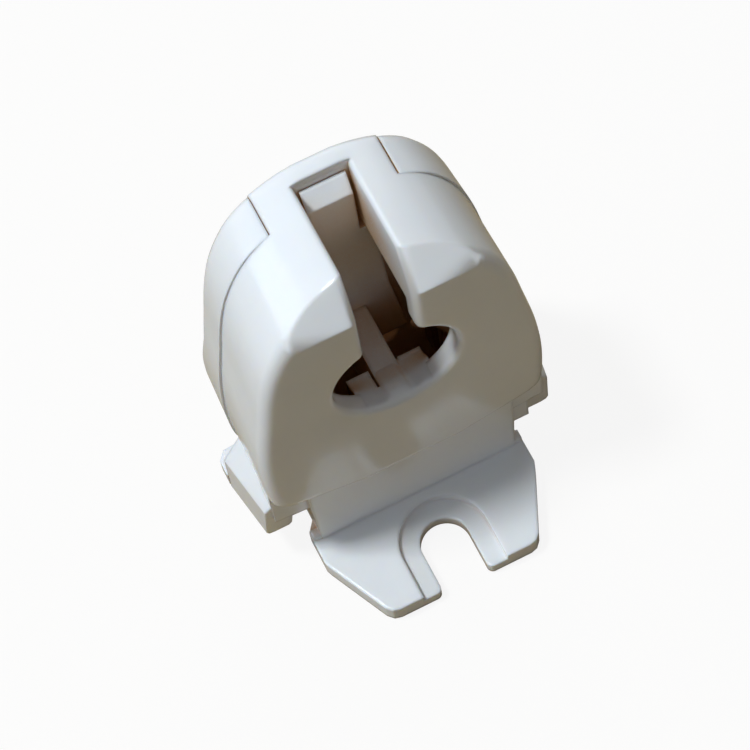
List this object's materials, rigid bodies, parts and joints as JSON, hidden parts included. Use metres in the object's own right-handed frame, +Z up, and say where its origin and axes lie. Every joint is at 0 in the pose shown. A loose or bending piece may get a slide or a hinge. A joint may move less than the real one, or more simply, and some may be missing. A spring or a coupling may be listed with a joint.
{
  "type": "fluorescent tube lamp holder",
  "caption": "White rotary push-in lamp holder for a mini bi-pin fluorescent tube: domed shell with a keyhole slot for the pins, clip-on rear cover and slotted screw foot",
  "frame": {"origin": "the mount base: on the flat underside of the foot, on the middle plane, straight below the lamp-side face", "axes": "X across the width towards the right hand as seen by the lamp, Y from the lamp side to the back, Z up from the foot along the longest extent"},
  "size_m": [0.0208, 0.0172, 0.031],
  "materials": {
    "white_plastic": "glossy moulded white",
    "cover_plastic": "glossy moulded white",
    "contact_bronze": "plain rolled strip"
  },
  "bodies": {
    "root": {"housing": "white_plastic", "rear_cover": "cover_plastic", "contact_left": "contact_bronze", "contact_right": "contact_bronze"}
  },
  "joints": []
}
